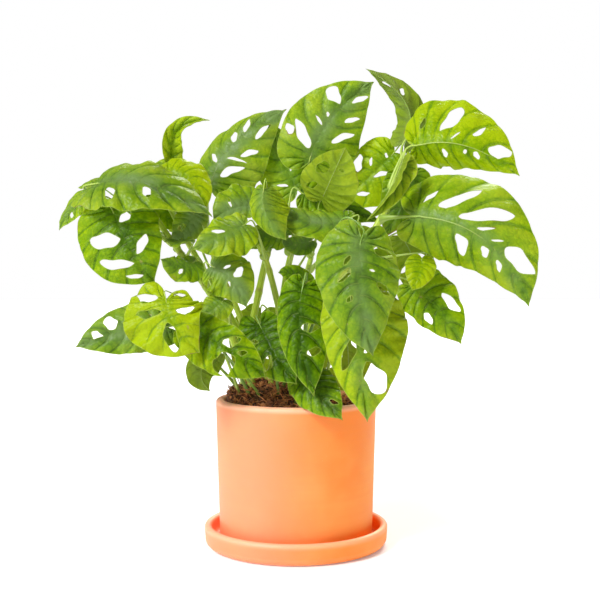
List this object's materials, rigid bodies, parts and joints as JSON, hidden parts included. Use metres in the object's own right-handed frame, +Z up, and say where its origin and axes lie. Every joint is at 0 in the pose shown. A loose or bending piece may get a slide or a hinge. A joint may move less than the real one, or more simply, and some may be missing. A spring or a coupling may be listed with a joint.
{
  "type": "potted monstera adansonii",
  "caption": "Climbing aroid house plant with holed leaves on long stems, in a plain terracotta pot of coir mix on its own saucer.",
  "frame": {"origin": "centre of the saucer's flat underside, where the part stands", "axes": "+Z up, -Y the front side that the picture shows, +X to the right seen from the front"},
  "size_m": [0.3876, 0.1902, 0.3911],
  "materials": {
    "terracotta": "fired clay, matt",
    "potting_mix": "coarse coir and bark, damp",
    "green_stem": "green stem, satin",
    "leaf": "living leaf, soft gloss"
  },
  "bodies": {
    "root": {"saucer": "terracotta", "pot": "terracotta", "soil": "potting_mix", "stem_left": "green_stem", "stem_left_inner": "green_stem", "stem_arch": "green_stem", "stem_centre_left": "green_stem", "stem_centre_low": "green_stem", "stem_centre": "green_stem", "stem_right": "green_stem", "stem_back": "green_stem", "leaf_right_large": "leaf", "leaf_right_upper": "leaf", "leaf_top": "leaf", "leaf_back_right": "leaf", "leaf_top_centre": "leaf", "leaf_behind_centre": "leaf", "leaf_left_top": "leaf", "leaf_curled_left": "leaf", "leaf_small_back_left": "leaf", "leaf_left_long": "leaf", "leaf_far_left": "leaf", "leaf_left_hanging": "leaf", "leaf_arch_left": "leaf", "leaf_lime_front": "leaf", "leaf_low_left": "leaf", "leaf_mid_left": "leaf", "leaf_mid_centre": "leaf", "leaf_low_centre": "leaf", "leaf_low_under": "leaf", "leaf_dark_centre": "leaf", "leaf_centre_lower": "leaf", "leaf_low_right": "leaf", "leaf_small_centre": "leaf", "leaf_centre_large": "leaf", "leaf_front_right": "leaf", "leaf_small_right": "leaf", "leaf_mid_right": "leaf", "leaf_centre_front": "leaf", "leaf_arch_centre": "leaf", "leaf_left_centre": "leaf", "leaf_olive_centre": "leaf", "leaf_folded_centre": "leaf", "leaf_glossy_centre": "leaf", "leaf_shaded_centre": "leaf", "leaf_folded_right": "leaf", "leaf_shaded_right": "leaf", "leaf_behind_stems": "leaf", "leaf_grey_left": "leaf", "leaf_edge_left": "leaf", "leaf_pale_left": "leaf", "leaf_under_centre": "leaf", "leaf_rear_right": "leaf", "leaf_rear_low": "leaf", "leaf_rear_left_low": "leaf", "leaf_rear_top": "leaf", "leaf_rear_left": "leaf", "leaf_rear_far_right": "leaf"}
  },
  "joints": []
}
